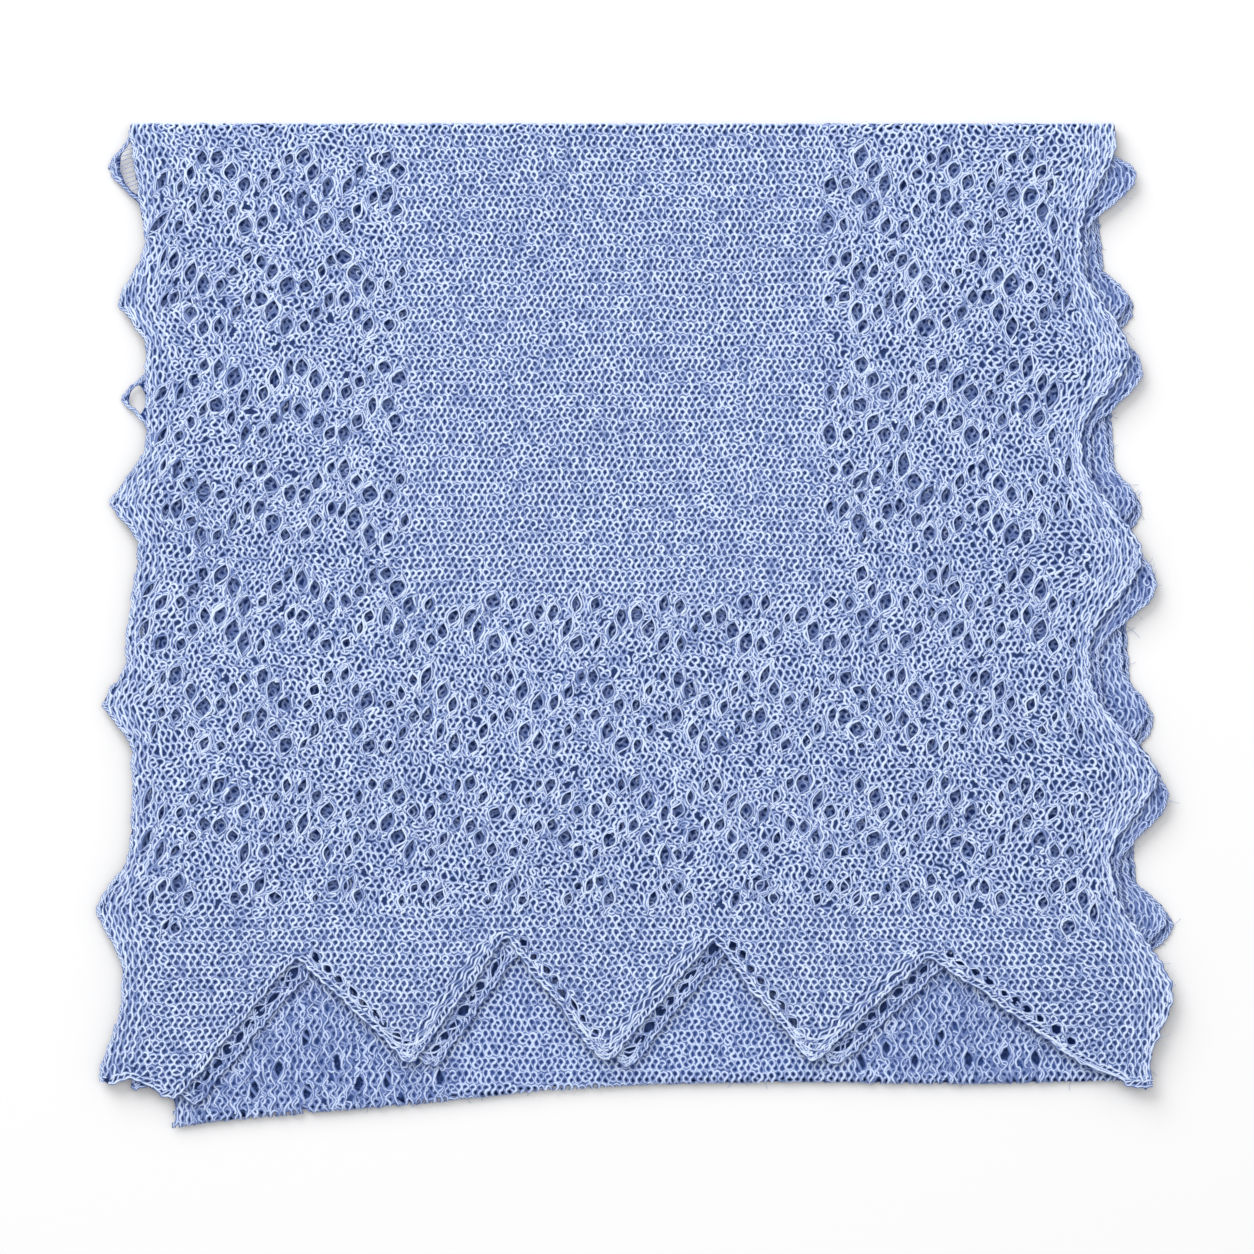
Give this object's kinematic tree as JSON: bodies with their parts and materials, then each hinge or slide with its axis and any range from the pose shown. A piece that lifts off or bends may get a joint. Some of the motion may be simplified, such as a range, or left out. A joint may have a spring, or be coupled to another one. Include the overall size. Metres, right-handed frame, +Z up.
{
  "type": "lace scarf",
  "caption": "Fine knitted lace scarf with scalloped sides and toothed ends, folded crosswise into a flat stack lying on a surface.",
  "frame": {"origin": "middle of the folded stack's footprint, on the surface that it lies on", "axes": "+Z up, away from the surface; +X across the scarf, from its left edge to its right edge as seen from above; +Y along the scarf, from the toothed end on top towards the far fold"},
  "size_m": [0.4312, 0.4032, 0.0079],
  "materials": {
    "wool_top": "matte",
    "wool_second": "matte",
    "wool_middle": "matte"
  },
  "bodies": {
    "root": {"top_end": "wool_top", "second_end": "wool_second", "folded_middle": "wool_middle"}
  },
  "joints": []
}
